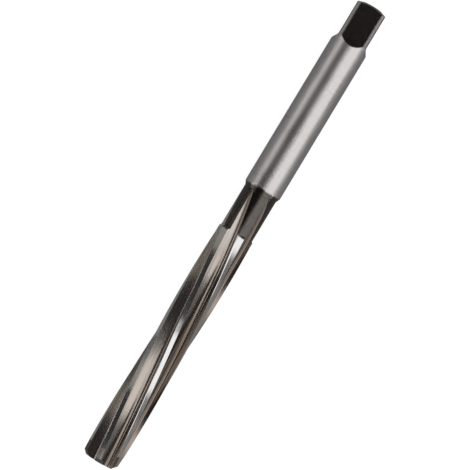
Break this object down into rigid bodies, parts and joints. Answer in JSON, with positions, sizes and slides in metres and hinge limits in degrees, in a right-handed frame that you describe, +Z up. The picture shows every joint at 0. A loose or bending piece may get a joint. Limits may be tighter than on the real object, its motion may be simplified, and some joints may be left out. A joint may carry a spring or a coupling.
{
  "type": "hand reamer",
  "caption": "Hand reamer with left-hand helical flutes, a reduced neck, a plain ground shank and a square driving end.",
  "frame": {"origin": "centre of the footprint, on the surface that the tool lies on, half way between the tip and the driving end", "axes": "+X along the tool's axis, from the cutting tip to the driving end; +Z up, square to one flat of the driving square"},
  "size_m": [0.133, 0.01, 0.01],
  "materials": {
    "tool_steel": "high-speed steel, ground bright on the shank, flutes and lands, black oxide on the neck and the driving square"
  },
  "bodies": {
    "root": {"hand_reamer": "tool_steel"}
  },
  "joints": []
}
